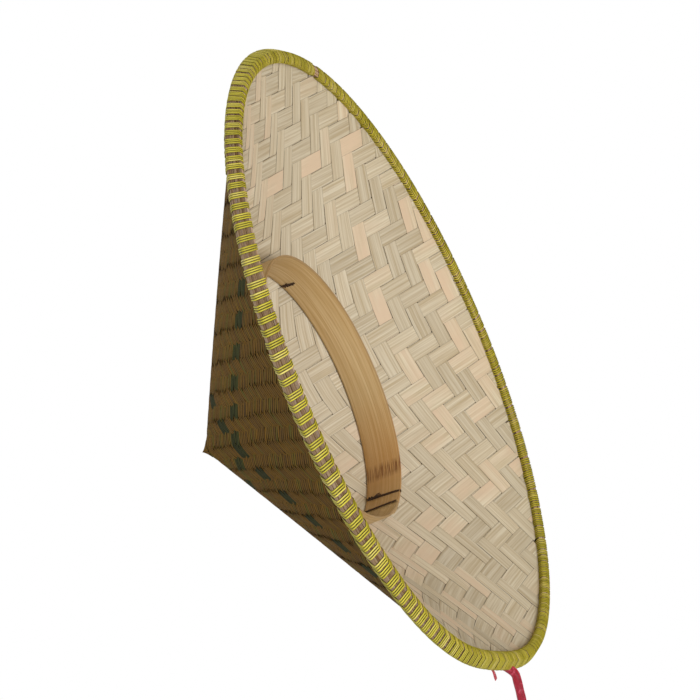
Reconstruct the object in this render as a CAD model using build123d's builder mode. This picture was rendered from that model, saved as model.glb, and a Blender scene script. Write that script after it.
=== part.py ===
from build123d import *
import os
from math import cos, pi, radians, sin, tan

# A woven bamboo conical hat standing on its rim: apex up, origin on the axis at
# the rim's lowest level. Sizes in millimetres, angles in degrees.

# Cone
slope_angle = 35.4
rim_mid_radius = 202.45       # middle of the rim binding, where the layers are clamped
rim_mid_height = 6.1
outer_weave_thickness = 1.2
leaf_thickness = 0.3
lining_thickness = 1.4
layer_gap = 0.05
layer_end_gap = 0.2           # between the lower ends of the layers and the edge splints
lining_bow_drop = 7.46        # how far the bowed lining hangs below the straight line over the band
lining_bow_start = 5.6        # along the slope, where the lining leaves the straight line
lining_crown_radius = 12.0    # above this the lining is a straight cone
nib_radius = 6.0              # where the drawn-out tip starts
nib_rise = 6.6

# Rim binding, measured on the slope: along it and square to it
hoop_split_thickness = 1.4
hoop_split_gap = 0.1
hoop_width = 6.4
hoop_top = 0.2                # upper edge of the hoops
hoop_joint_width = 0.8
hoop_joint_azimuths = {"rim_outer_hoop_face": 16.0, "rim_outer_hoop_back": 140.0,
                       "rim_inner_hoop_face": 250.0, "rim_inner_hoop_back": 330.0}
clamp_half_gap = 1.6          # half the room between the outer and inner hoops
edge_splint_width = 1.4
edge_splint_gap = 0.1
lashing_count = 216
lashing_width = 3.4
lashing_thickness = 0.6
lashing_floor_wall = 0.6      # what a wrap keeps under the hoop's resting edge
lashing_crowding = 9.2        # wraps sit closer on the +Y side

# Dyed accent splints on the outer face
accent_offset = 50.0
accent_width = 5.0
accent_thickness = 0.4
accent_turn = 39.0

# Head band and its thread ties
band_inner_radius = 88.0
band_thickness = 1.6
band_width = 25.0
band_top_gap = 0.1
band_joint_azimuth = 162.0
band_joint_width = 0.6
band_lap_angle = 16.0
band_lap_inset = 2.0
tie_azimuths = (32.0, 150.0, 212.0, 330.0)
tie_thickness = 0.8           # inside, it lies in a groove in the band
tie_width = 3.6
tie_knot_radius = 2.2
tie_gap = 0.05
tie_stitch_depth = 0.8        # how far the stitch rises past the band into the lining

# Chin ribbon
ribbon_width = 5.5
ribbon_thickness = 0.6
ribbon_exit_azimuth = 190.5
ribbon_exit_along = -0.4      # along the slope, up from the middle of the rim
ribbon_fold_length = 2.6
ribbon_gap = 0.15
tail_azimuth = 198.6
tail_width = 3.0
tail_reach = 14.0
coil_offset = Vector(-61.06, 4.8, 0)     # from the fold at the rim to the coil's middle
coil_turns_across = 2
coil_mid_radius = 30.25
coil_tie_thickness = 0.5
coil_tie_width = 3.0
coil_tie_azimuth = 200.0

# Points that the ribbon lies along: where each is from the fold at the rim, and how high
ribbon_floor = 2.8
ribbon_lying_points = [(-7.36, -3.1, 7.3), (-15.46, -8.0, 2.9), (-25.56, -14.4, ribbon_floor),
                       (-36.06, -18.6, ribbon_floor), (-46.06, -24.5, 3.2)]


def on_slope(along, square):
    """Radius and height of a point: along the slope upwards, square to it outwards."""
    radius = rim_mid_radius - along * cos(radians(slope_angle)) + square * sin(radians(slope_angle))
    height = rim_mid_height + along * sin(radians(slope_angle)) + square * cos(radians(slope_angle))
    return radius, height


def upright_plane(azimuth):
    """The plane through the axis at an azimuth: x is the radius and y the height."""
    across = (sin(radians(azimuth)), -cos(radians(azimuth)), 0)
    return Plane(origin=(0, 0, 0), x_dir=(cos(radians(azimuth)), sin(radians(azimuth)), 0), z_dir=across)


def slope_plane(azimuth, along, square):
    """A plane lying on the slope: x runs up the slope and z points outwards."""
    radius, height = on_slope(along, square)
    outward = Vector(cos(radians(azimuth)), sin(radians(azimuth)), 0)
    up_slope = outward * -cos(radians(slope_angle)) + Vector(0, 0, sin(radians(slope_angle)))
    square_out = outward * sin(radians(slope_angle)) + Vector(0, 0, cos(radians(slope_angle)))
    return Plane(origin=outward * radius + Vector(0, 0, height), x_dir=up_slope, z_dir=square_out)


def slope_box(low_along, high_along, low_square, high_square):
    """Corners of a rectangle on the slope, as radius and height."""
    return [on_slope(low_along, low_square), on_slope(high_along, low_square),
            on_slope(high_along, high_square), on_slope(low_along, high_square)]


def save(piece, name):
    piece.part.label = name
    export_step(piece.part, "parts/" + name + ".step")


os.makedirs("parts", exist_ok=True)

leaf_inner = -layer_gap
leaf_outer = leaf_inner + leaf_thickness
weave_inner = leaf_outer + layer_gap
weave_outer = weave_inner + outer_weave_thickness
lining_outer = leaf_inner - layer_gap
lining_inner = lining_outer - lining_thickness
hoop_bottom = hoop_top - hoop_width
layer_start = hoop_bottom + edge_splint_width + layer_end_gap
hoop_back_square = clamp_half_gap + hoop_split_thickness
hoop_face_square = hoop_back_square + hoop_split_gap
hoop_outer_face = hoop_face_square + hoop_split_thickness
slope_rise = tan(radians(slope_angle))


def cone_height(radius, square):
    """Height of the straight cone's surface that lies square off the slope line."""
    base_radius, base_height = on_slope(0, square)
    return base_height + (base_radius - radius) * slope_rise


# The band's outer face, and where the lining passes over its upper edge
band_outer_radius = band_inner_radius + band_thickness
lining_bow_height = cone_height(band_outer_radius, lining_inner) - lining_bow_drop

# Outer weave: a straight cone with a small drawn-out tip
weave_apex = cone_height(0, weave_outer)
with BuildPart() as outer_weave:
    with BuildSketch(Plane.XZ):
        with BuildLine():
            Polyline(on_slope(layer_start, weave_inner), on_slope(layer_start, weave_outer),
                     (nib_radius, cone_height(nib_radius, weave_outer)),
                     (nib_radius / 5, weave_apex - nib_rise / 5 + nib_rise / 3), (0, weave_apex + nib_rise / 3),
                     (0, cone_height(0, weave_inner)), close=True)
        make_face()
    revolve(axis=Axis.Z)
save(outer_weave, "outer_weave")


def bowed_shell(inner_square, outer_square):
    """A layer that is straight in the rim, bows inwards over the head and closes at the crown."""
    depth_inner = inner_square - lining_inner
    depth_outer = outer_square - lining_inner
    bow_in = (band_outer_radius + depth_inner * sin(radians(slope_angle)),
              lining_bow_height + depth_inner * cos(radians(slope_angle)))
    bow_out = (band_outer_radius + depth_outer * sin(radians(slope_angle)),
               lining_bow_height + depth_outer * cos(radians(slope_angle)))
    with BuildPart() as shell:
        with BuildSketch(Plane.XZ):
            with BuildLine():
                Polyline((0, cone_height(0, inner_square)),
                         (lining_crown_radius, cone_height(lining_crown_radius, inner_square)))
                ThreePointArc((lining_crown_radius, cone_height(lining_crown_radius, inner_square)),
                              bow_in, on_slope(lining_bow_start, inner_square))
                Polyline(on_slope(lining_bow_start, inner_square), on_slope(layer_start, inner_square),
                         on_slope(layer_start, outer_square), on_slope(lining_bow_start, outer_square))
                ThreePointArc(on_slope(lining_bow_start, outer_square), bow_out,
                              (lining_crown_radius, cone_height(lining_crown_radius, outer_square)))
                Polyline((lining_crown_radius, cone_height(lining_crown_radius, outer_square)),
                         (0, cone_height(0, outer_square)), (0, cone_height(0, inner_square)))
            make_face()
        revolve(axis=Axis.Z)
    return shell


save(bowed_shell(leaf_inner, leaf_outer), "leaf_layer")
save(bowed_shell(lining_inner, lining_outer), "inner_lining")

# Rim hoops: two stacked splits outside and two inside, each an open ring with a butt joint.
# The lowest edge is planed flat, so that the hat stands on it.
hoop_joint_angle = hoop_joint_width / rim_mid_radius * 180 / pi
hoop_layers = {"rim_outer_hoop_face": (hoop_face_square, hoop_outer_face),
               "rim_outer_hoop_back": (clamp_half_gap, hoop_back_square),
               "rim_inner_hoop_face": (-hoop_outer_face, -hoop_face_square),
               "rim_inner_hoop_back": (-hoop_back_square, -clamp_half_gap)}
for hoop_name, (near_square, far_square) in hoop_layers.items():
    with BuildPart() as hoop:
        with BuildSketch(upright_plane(hoop_joint_azimuths[hoop_name])):
            Polygon(*slope_box(hoop_bottom, hoop_top, near_square, far_square), align=None)
        revolve(axis=Axis.Z, revolution_arc=360 - hoop_joint_angle)
        split(bisect_by=Plane.XY, keep=Keep.TOP)
    save(hoop, hoop_name)

# Two slim splints fill the edge between the hoops, below the ends of the layers
edge_square = clamp_half_gap - edge_splint_gap
for edge_name, near_square, far_square in (("rim_edge_splint_inner", -edge_square, -edge_splint_gap / 2),
                                           ("rim_edge_splint_outer", edge_splint_gap / 2, edge_square)):
    with BuildPart() as edge_splint:
        with BuildSketch(Plane.XZ):
            Polygon(*slope_box(hoop_bottom, hoop_bottom + edge_splint_width, near_square, far_square),
                    align=None)
        revolve(axis=Axis.Z)
    save(edge_splint, edge_name)

# Rim lashing: each wrap is a closed loop round the hoops and through the layers
lashing_azimuths = []
for wrap in range(lashing_count):
    even = wrap * 360 / lashing_count
    lashing_azimuths.append(even + lashing_crowding * cos(radians(even)))
outer_top = hoop_top + lashing_thickness
outer_square = hoop_outer_face + lashing_thickness
floor_square = (lashing_floor_wall - on_slope(hoop_bottom, 0)[1]) / cos(radians(slope_angle))
floor_along = (lashing_floor_wall - on_slope(0, -hoop_outer_face)[1]) / sin(radians(slope_angle))
with BuildPart() as wrap_loop:
    with BuildSketch(Plane.XZ):
        Polygon(*slope_box(hoop_bottom - lashing_thickness, outer_top, -outer_square, outer_square), align=None)
        Polygon(on_slope(floor_along, -hoop_outer_face), on_slope(hoop_top, -hoop_outer_face),
                on_slope(hoop_top, hoop_outer_face), on_slope(hoop_bottom, hoop_outer_face),
                on_slope(hoop_bottom, floor_square), align=None, mode=Mode.SUBTRACT)
    extrude(amount=lashing_width / 2, both=True)
    split(bisect_by=Plane.XY, keep=Keep.TOP)
rim_lashing = Compound(label="rim_lashing",
                       children=[wrap_loop.part.solid().rotate(Axis.Z, azimuth) for azimuth in lashing_azimuths])
export_step(rim_lashing, "parts/rim_lashing.step")

# Accent splints: two pairs that cross on the outer face, as far down as the lashing
accent_inner = weave_outer + layer_gap
accent_start = outer_top
with BuildPart() as accent_splints:
    with BuildSketch(Plane.XZ):
        with BuildLine():
            Polyline(on_slope(accent_start, accent_inner), on_slope(accent_start, accent_inner + accent_thickness),
                     (nib_radius, cone_height(nib_radius, accent_inner + accent_thickness)),
                     (nib_radius, cone_height(nib_radius, accent_inner)), close=True)
        make_face()
    revolve(axis=Axis.Z)
    with BuildSketch(Plane.XY.rotated((0, 0, accent_turn))):
        with Locations((0, accent_offset), (0, -accent_offset)):
            Rectangle(2 * rim_mid_radius, accent_width)
        with Locations((accent_offset, 0), (-accent_offset, 0)):
            Rectangle(accent_width, 2 * rim_mid_radius)
    extrude(amount=weave_apex, mode=Mode.INTERSECT)
save(accent_splints, "accent_splints")

# Head band: a lapped bamboo strip whose top edge meets the lining, grooved inside for its ties
band_top = lining_bow_height - band_top_gap
band_bottom = band_top - band_width
band_joint_angle = band_joint_width / band_inner_radius * 180 / pi
with BuildPart() as head_band:
    with BuildSketch(upright_plane(band_joint_azimuth)):
        with Locations((band_inner_radius, band_bottom)):
            Rectangle(band_thickness, band_width, align=(Align.MIN, Align.MIN))
    revolve(axis=Axis.Z, revolution_arc=360 - band_joint_angle)
    with BuildSketch(upright_plane(band_joint_azimuth - band_lap_angle / 2)):
        with Locations((band_outer_radius, band_bottom)):
            Rectangle(band_thickness, band_width - band_lap_inset, align=(Align.MIN, Align.MIN))
    revolve(axis=Axis.Z, revolution_arc=band_lap_angle)
    with BuildSketch(*[upright_plane(azimuth) for azimuth in tie_azimuths]):
        with Locations((band_inner_radius - tie_gap, band_bottom)):
            Rectangle(tie_thickness + 2 * tie_gap, band_width, align=(Align.MIN, Align.MIN))
    extrude(amount=tie_width / 2 + tie_gap, both=True, mode=Mode.SUBTRACT)
save(head_band, "head_band")

# Thread ties: a loop round the band, stitched up into the lining and knotted below the band
tie_groove_radius = band_inner_radius + tie_thickness + tie_gap
tie_low = band_bottom - tie_gap - tie_thickness
for number, azimuth in enumerate(tie_azimuths, start=1):
    with BuildPart() as band_tie:
        with BuildSketch(upright_plane(azimuth)):
            with Locations((tie_groove_radius - tie_gap - tie_thickness, tie_low)):
                Rectangle(band_thickness + tie_gap + tie_thickness, band_top + tie_stitch_depth - tie_low,
                          align=(Align.MIN, Align.MIN))
            with Locations((tie_groove_radius - tie_gap, band_bottom - tie_gap)):
                Rectangle(band_outer_radius + 2 * tie_gap - tie_groove_radius, band_width + 2 * tie_gap,
                          align=(Align.MIN, Align.MIN), mode=Mode.SUBTRACT)
        extrude(amount=tie_width / 2, both=True)
        with Locations(upright_plane(azimuth)):
            with Locations((band_inner_radius + tie_knot_radius + tie_gap, tie_low)):
                Sphere(tie_knot_radius)
        with BuildSketch(upright_plane(azimuth)):
            with Locations((tie_groove_radius - tie_gap, band_bottom - tie_gap)):
                Rectangle(band_outer_radius + 2 * tie_gap - tie_groove_radius, band_width + 2 * tie_gap,
                          align=(Align.MIN, Align.MIN))
        extrude(amount=tie_width, both=True, mode=Mode.SUBTRACT)
    save(band_tie, "band_tie_" + str(number))

# Chin ribbon, its tied end: a strip under the lashing, a fold at one side, a cut tail at the other
strip_low = hoop_top - ribbon_width
with BuildPart() as chin_ribbon_tied_end:
    with BuildSketch(upright_plane(ribbon_exit_azimuth)):
        Polygon(*slope_box(strip_low, strip_low + ribbon_width, hoop_outer_face,
                           hoop_outer_face + ribbon_thickness), align=None)
    revolve(axis=Axis.Z, revolution_arc=tail_azimuth - ribbon_exit_azimuth)
    with BuildSketch(slope_plane(ribbon_exit_azimuth, ribbon_exit_along, hoop_outer_face)):
        Rectangle(ribbon_fold_length, ribbon_width, align=(Align.MIN, Align.CENTER))
    extrude(amount=lashing_thickness + ribbon_gap + ribbon_width)
    with BuildSketch(slope_plane(ribbon_exit_azimuth, strip_low, hoop_outer_face)):
        Rectangle(ribbon_exit_along + ribbon_fold_length - strip_low, ribbon_width,
                  align=(Align.MIN, Align.CENTER))
    extrude(amount=ribbon_thickness)
    with BuildSketch(slope_plane(tail_azimuth, -tail_reach, hoop_outer_face)):
        Rectangle(tail_reach, tail_width, align=(Align.MIN, Align.CENTER))
    extrude(amount=ribbon_thickness)
save(chin_ribbon_tied_end, "chin_ribbon_tied_end")

# Its free stretch, over the rim's edge and along the floor
exit_square = hoop_outer_face + lashing_thickness + ribbon_gap + ribbon_width / 2
ribbon_exit = slope_plane(ribbon_exit_azimuth, ribbon_exit_along, exit_square).origin
ribbon_route = [ribbon_exit] + [Vector(ribbon_exit.X + step_x, ribbon_exit.Y + step_y, height)
                                for step_x, step_y, height in ribbon_lying_points]
bend_radii = []
for before, corner, after in zip(ribbon_route, ribbon_route[1:], ribbon_route[2:]):
    arriving = corner - before
    leaving = after - corner
    half_turn = arriving.get_angle(leaving) / 2
    bend_radii.append(0.45 * min(arriving.length, leaving.length) / tan(radians(half_turn)))
print("ribbon bend radii", [round(radius, 1) for radius in bend_radii])
with BuildPart() as chin_ribbon_run:
    with BuildLine() as ribbon_path:
        FilletPolyline(*ribbon_route, radius=bend_radii)
    with BuildSketch(Plane(origin=ribbon_route[0], z_dir=ribbon_route[1] - ribbon_route[0])):
        Circle(ribbon_width / 2)
    sweep(path=ribbon_path.wire())
run_length = ribbon_path.wire().length
print("ribbon exit", [round(value, 2) for value in ribbon_exit], "run length", round(run_length, 2),
      "volume over section times length",
      round(chin_ribbon_run.part.volume / (pi * ribbon_width ** 2 / 4 * run_length), 4))
save(chin_ribbon_run, "chin_ribbon_run")

# The put-away length: flat turns side by side, held by a tie
coil_centre = ribbon_exit + coil_offset
coil_axis = Axis((coil_centre.X, coil_centre.Y, 0), (0, 0, 1))
coil_across = coil_turns_across * ribbon_width
with BuildPart() as chin_ribbon_coil:
    with BuildSketch(Plane(origin=coil_axis.position, x_dir=(1, 0, 0), z_dir=(0, -1, 0))):
        with Locations((coil_mid_radius, coil_tie_thickness + layer_gap + ribbon_width / 2)):
            RectangleRounded(coil_across, ribbon_width, ribbon_width / 3)
    revolve(axis=coil_axis)
save(chin_ribbon_coil, "chin_ribbon_coil")
with BuildPart() as coil_tie:
    coil_across_plane = Plane(origin=coil_axis.position,
                              x_dir=(cos(radians(coil_tie_azimuth)), sin(radians(coil_tie_azimuth)), 0),
                              z_dir=(sin(radians(coil_tie_azimuth)), -cos(radians(coil_tie_azimuth)), 0))
    with BuildSketch(coil_across_plane):
        with Locations((coil_mid_radius, coil_tie_thickness + layer_gap + ribbon_width / 2)):
            Rectangle(coil_across + 2 * (layer_gap + coil_tie_thickness),
                      ribbon_width + 2 * (layer_gap + coil_tie_thickness))
            Rectangle(coil_across + 2 * layer_gap, ribbon_width + 2 * layer_gap, mode=Mode.SUBTRACT)
    extrude(amount=coil_tie_width / 2, both=True)
save(coil_tie, "coil_tie")
print("ribbon length", round(run_length + coil_turns_across * 2 * pi * coil_mid_radius))
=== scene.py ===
import bpy
import bmesh
from math import atan2, cos, exp, hypot, pi, radians, sin, sqrt, tan
from random import Random
from mathutils import Matrix, Vector


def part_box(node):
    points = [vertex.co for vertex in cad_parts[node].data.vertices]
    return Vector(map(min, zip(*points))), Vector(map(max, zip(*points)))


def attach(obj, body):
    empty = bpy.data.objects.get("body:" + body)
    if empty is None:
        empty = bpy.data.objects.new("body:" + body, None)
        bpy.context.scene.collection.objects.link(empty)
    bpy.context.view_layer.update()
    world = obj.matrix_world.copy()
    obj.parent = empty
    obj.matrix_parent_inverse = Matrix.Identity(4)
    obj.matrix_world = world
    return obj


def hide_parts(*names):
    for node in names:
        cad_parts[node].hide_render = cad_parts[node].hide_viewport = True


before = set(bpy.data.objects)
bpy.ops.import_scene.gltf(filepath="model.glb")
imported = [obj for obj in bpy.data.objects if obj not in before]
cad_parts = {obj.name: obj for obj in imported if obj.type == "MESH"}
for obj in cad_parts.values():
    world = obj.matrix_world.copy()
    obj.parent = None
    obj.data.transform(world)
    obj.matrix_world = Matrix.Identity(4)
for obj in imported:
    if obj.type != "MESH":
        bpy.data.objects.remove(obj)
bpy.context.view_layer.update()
mm = 0.001
draw = Random(7)
print("frame loaded")

# The slope line through the middle of the rim, and the layers measured square to it
slope = {"angle": radians(35.4), "radius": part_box("rim_lashing")[1][0] - 8.50 * mm, "height": 6.1 * mm}
layers = {"weave": 0.9 * mm, "lining": -1.5 * mm}
liningBow = {"radius": 89.6 * mm, "height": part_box("head_band")[1][2] + 0.1 * mm, "crown": 12 * mm,
             "start": 5.6 * mm}
tipLean = {"shift": 7 * mm, "outerRadius": slope["radius"],
           "innerRadius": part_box("head_band")[1][0] - 0.8 * mm}
nib = {"radius": 7 * mm, "rise": 2.2 * mm}


def onSlope(along, square):
    radius = slope["radius"] - along * cos(slope["angle"]) + square * sin(slope["angle"])
    height = slope["height"] + along * sin(slope["angle"]) + square * cos(slope["angle"])
    return radius, height


def coneHeight(radius, square):
    baseRadius, baseHeight = onSlope(0, square)
    return baseHeight + (baseRadius - radius) * tan(slope["angle"])


def circleThrough(a, b, c):
    spread = 2 * (a[0] * (b[1] - c[1]) + b[0] * (c[1] - a[1]) + c[0] * (a[1] - b[1]))
    squares = [p[0] ** 2 + p[1] ** 2 for p in (a, b, c)]
    x = (squares[0] * (b[1] - c[1]) + squares[1] * (c[1] - a[1]) + squares[2] * (a[1] - b[1])) / spread
    y = (squares[0] * (c[0] - b[0]) + squares[1] * (a[0] - c[0]) + squares[2] * (b[0] - a[0])) / spread
    return x, y, hypot(a[0] - x, a[1] - y)


bowStart = onSlope(liningBow["start"], layers["lining"])
bowCrown = (liningBow["crown"], coneHeight(liningBow["crown"], layers["lining"]))
bowCircle = circleThrough(bowStart, (liningBow["radius"], liningBow["height"]), bowCrown)


def liningSurface(radius):
    # height of the lining's inner face, and the direction square to it
    if bowCrown[0] < radius < bowStart[0]:
        drop = sqrt(bowCircle[2] ** 2 - (radius - bowCircle[0]) ** 2)
        side = 1 if bowCircle[1] < bowCrown[1] else -1
        outward = (side * (radius - bowCircle[0]) / bowCircle[2], drop / bowCircle[2])
        return bowCircle[1] + side * drop, (abs(outward[0]), outward[1])
    return coneHeight(radius, layers["lining"]), (sin(slope["angle"]), cos(slope["angle"]))


def outerPoint(x, y, lift):
    radius = max(hypot(x, y), 1e-6)
    height = coneHeight(radius, layers["weave"]) + nib["rise"] * max(0, 1 - radius / nib["radius"]) ** 2
    reach = max(radius + lift * sin(slope["angle"]), 1e-6) / radius
    lean = tipLean["shift"] * max(0, 1 - radius / tipLean["outerRadius"]) ** 2
    return Vector((x * reach - lean, y * reach, height + lift * cos(slope["angle"])))


def innerPoint(x, y, lift):
    radius = max(hypot(x, y), 1e-6)
    height, outward = liningSurface(radius)
    reach = max(radius + lift * outward[0], 1e-6) / radius
    lean = tipLean["shift"] * max(0, 1 - radius / tipLean["innerRadius"]) ** 2
    return Vector((x * reach - lean, y * reach, height + lift * outward[1]))


def rimPoint(azimuth, along, square):
    radius, height = onSlope(along, square)
    return Vector((radius * cos(azimuth), radius * sin(azimuth), max(height, 0.05 * mm)))


def colour(code):
    # a hex colour as linear values
    parts = [int(code[i:i + 2], 16) / 255 for i in (1, 3, 5)]
    return [part / 12.92 if part <= 0.04045 else ((part + 0.055) / 1.055) ** 2.4 for part in parts] + [1]


def link(tree, source, target):
    tree.links.new(source, target)


def mathNode(tree, operation, first, second):
    node = tree.nodes.new("ShaderNodeMath")
    node.operation = operation
    for socket, value in zip(node.inputs, (first, second)):
        if isinstance(value, (int, float)):
            socket.default_value = value
        else:
            link(tree, value, socket)
    return node.outputs[0]


def mixColour(tree, amount, first, second, blend="MIX"):
    node = tree.nodes.new("ShaderNodeMix")
    node.data_type = "RGBA"
    node.blend_type = blend
    for socket, value in ((node.inputs[0], amount), (node.inputs[6], first), (node.inputs[7], second)):
        if isinstance(value, (int, float, list)):
            socket.default_value = value
        else:
            link(tree, value, socket)
    return node.outputs[2]


def noise(tree, vector, scale, detail=3):
    node = tree.nodes.new("ShaderNodeTexNoise")
    node.inputs["Scale"].default_value = scale
    node.inputs["Detail"].default_value = detail
    link(tree, vector, node.inputs["Vector"])
    return node.outputs[0]


def stretch(tree, vector, factors):
    node = tree.nodes.new("ShaderNodeVectorMath")
    node.operation = "MULTIPLY"
    link(tree, vector, node.inputs[0])
    node.inputs[1].default_value = factors
    return node.outputs[0]


def steps(tree, value, low, high):
    node = tree.nodes.new("ShaderNodeMapRange")
    link(tree, value, node.inputs[0])
    node.inputs[1].default_value = low
    node.inputs[2].default_value = high
    return node.outputs[0]


# Split bamboo: fine lengthwise fibres, slow stains, darker edges painted as shade in the gaps between
# splints, each splint in its own tone.
# The fibre attribute holds metres along the splint, -1 to 1 across it, and the splint's tone.
splitBamboo = {
    "inputs": {"Fibre": "Vector", "Pale": "Color", "Deep": "Color", "Odd": "Color", "Edge": "Color",
               "Fineness": "Float", "Gap shade start": "Float", "Gap shade depth": "Float", "Hairs": "Float"},
    "outputs": {"Colour": "Color", "Roughness": "Float", "Height": "Float"},
    "toneSpread": 61.7,                                    # sets splints of different tone apart in the noise
    "fibres": ((9, 1.0, 1.0), 1.6, 4),                     # stretch, scale and detail of each noise
    "hairs": ((22, 3.1, 1.0), 2.3, 3),
    "stains": ((26, 0.16, 1.0), 1.0, 2),
    "fibreRange": (0.34, 0.66), "oddRange": (0.30, 0.62), "hairRange": (0.60, 0.78),
    "shadeRange": (0.86, 1.10),                            # the darkest and the palest splint
    "roughness": (0.42, 0.35), "hairDepth": 0.6,           # roughness: least, and what the fibres add
}
bamboo = bpy.data.node_groups.new("splitBamboo", "ShaderNodeTree")
for direction, sockets in (("INPUT", splitBamboo["inputs"]), ("OUTPUT", splitBamboo["outputs"])):
    for socketName, socketKind in sockets.items():
        bamboo.interface.new_socket(socketName, in_out=direction, socket_type="NodeSocket" + socketKind)
groupIn = bamboo.nodes.new("NodeGroupInput")
groupOut = bamboo.nodes.new("NodeGroupOutput")
parts = bamboo.nodes.new("ShaderNodeSeparateXYZ")
link(bamboo, groupIn.outputs["Fibre"], parts.inputs[0])
tone = parts.outputs[2]
across = mathNode(bamboo, "ABSOLUTE", parts.outputs[1], 0)
join = bamboo.nodes.new("ShaderNodeCombineXYZ")
link(bamboo, parts.outputs[0], join.inputs[0])
link(bamboo, mathNode(bamboo, "MULTIPLY", parts.outputs[1], groupIn.outputs["Fineness"]), join.inputs[1])
link(bamboo, mathNode(bamboo, "MULTIPLY", tone, splitBamboo["toneSpread"]), join.inputs[2])
fibres, hairs, stains = (
    noise(bamboo, stretch(bamboo, join.outputs[0], factors), scale, detail)
    for factors, scale, detail in (splitBamboo["fibres"], splitBamboo["hairs"], splitBamboo["stains"]))
ground = mixColour(bamboo, steps(bamboo, fibres, *splitBamboo["fibreRange"]), groupIn.outputs["Deep"],
                   groupIn.outputs["Pale"])
oddMask = steps(bamboo, mathNode(bamboo, "MULTIPLY", tone, stains), *splitBamboo["oddRange"])
ground = mixColour(bamboo, oddMask, ground, groupIn.outputs["Odd"])
shade = bamboo.nodes.new("ShaderNodeMapRange")
link(bamboo, tone, shade.inputs[0])
shade.inputs[3].default_value, shade.inputs[4].default_value = splitBamboo["shadeRange"]
shadeGrey = bamboo.nodes.new("ShaderNodeCombineXYZ")
for socket in shadeGrey.inputs:
    link(bamboo, shade.outputs[0], socket)
ground = mixColour(bamboo, 1.0, ground, shadeGrey.outputs[0], "MULTIPLY")
hairMask = steps(bamboo, hairs, *splitBamboo["hairRange"])
hairAmount = mathNode(bamboo, "MULTIPLY", hairMask, groupIn.outputs["Hairs"])
ground = mixColour(bamboo, hairAmount, ground, groupIn.outputs["Edge"])
# painted shade: each splint is mixed towards the edge colour near its edges, standing in for the shade in the
# gaps between splints
gapShadeMask = bamboo.nodes.new("ShaderNodeMapRange")
link(bamboo, across, gapShadeMask.inputs[0])
link(bamboo, groupIn.outputs["Gap shade start"], gapShadeMask.inputs[1])
gapShadeMask.inputs[2].default_value = 1.0
gapShadeAmount = mathNode(bamboo, "MULTIPLY", gapShadeMask.outputs[0], groupIn.outputs["Gap shade depth"])
link(bamboo, mixColour(bamboo, gapShadeAmount, ground, groupIn.outputs["Edge"]), groupOut.inputs["Colour"])
fibreRough = mathNode(bamboo, "MULTIPLY", fibres, splitBamboo["roughness"][1])
link(bamboo, mathNode(bamboo, "ADD", fibreRough, splitBamboo["roughness"][0]), groupOut.inputs["Roughness"])
hairDip = mathNode(bamboo, "MULTIPLY", hairMask, splitBamboo["hairDepth"])
link(bamboo, mathNode(bamboo, "SUBTRACT", fibres, hairDip), groupOut.inputs["Height"])


def newMaterial(name):
    material = bpy.data.materials.new(name)
    material.use_nodes = True
    return material, material.node_tree, material.node_tree.nodes["Principled BSDF"]


def fibreVector(tree):
    fibre = tree.nodes.new("ShaderNodeAttribute")
    fibre.attribute_name = "fibre"
    return fibre.outputs["Vector"]


def addBump(tree, shader, height, distance, strength=1):
    bump = tree.nodes.new("ShaderNodeBump")
    bump.inputs["Strength"].default_value = strength
    bump.inputs["Distance"].default_value = distance
    link(tree, height, bump.inputs["Height"])
    link(tree, bump.outputs[0], shader.inputs["Normal"])


# A culm node: warmer towards it and streaked dark at it. The ranges are metres from the node.
culmNode = {"warm": "#c48a44", "warmRange": (0.06, 0.01), "warmth": 0.5, "dark": "#6e3c18",
            "darkRange": (0.008, 0.003), "darkness": 0.8, "streaks": (60, 22, 1), "streakRange": (0.42, 0.58)}


def bambooMaterial(name, look):
    material, tree, shader = newMaterial(name)
    fibre = fibreVector(tree)
    group = tree.nodes.new("ShaderNodeGroup")
    group.node_tree = bamboo
    link(tree, fibre, group.inputs["Fibre"])
    for socketName in ("Pale", "Deep", "Odd", "Edge"):
        group.inputs[socketName].default_value = colour(look[socketName.lower()])
    group.inputs["Fineness"].default_value = look["fineness"]
    group.inputs["Gap shade start"].default_value = look["gapShadeStart"]
    group.inputs["Gap shade depth"].default_value = look["gapShadeDepth"]
    group.inputs["Hairs"].default_value = look["hairs"]
    base = group.outputs["Colour"]
    if "node" in look:
        spot = tree.nodes.new("ShaderNodeSeparateXYZ")
        link(tree, fibre, spot.inputs[0])
        distance = mathNode(tree, "ABSOLUTE", mathNode(tree, "SUBTRACT", spot.outputs[0], look["node"]), 0)
        warm = steps(tree, distance, *culmNode["warmRange"])
        base = mixColour(tree, mathNode(tree, "MULTIPLY", warm, culmNode["warmth"]), base,
                         colour(culmNode["warm"]))
        streaks = steps(tree, noise(tree, stretch(tree, fibre, culmNode["streaks"]), 1.0, 3),
                        *culmNode["streakRange"])
        near = mathNode(tree, "MULTIPLY", steps(tree, distance, *culmNode["darkRange"]), streaks)
        base = mixColour(tree, mathNode(tree, "MULTIPLY", near, culmNode["darkness"]), base,
                         colour(culmNode["dark"]))
    link(tree, base, shader.inputs["Base Color"])
    link(tree, group.outputs["Roughness"], shader.inputs["Roughness"])
    addBump(tree, shader, group.outputs["Height"], 0.2 * mm, look["bump"])
    shader.inputs["Specular IOR Level"].default_value = look["shine"]
    shader.inputs["Coat Weight"].default_value = look["coat"]
    shader.inputs["Coat Roughness"].default_value = 0.35
    return material


# edge: the colour of the painted shade along each splint's edges, and of the fibre hairs; the two values
# after fineness set where across the splint that painted shade begins and how strong it is
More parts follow.
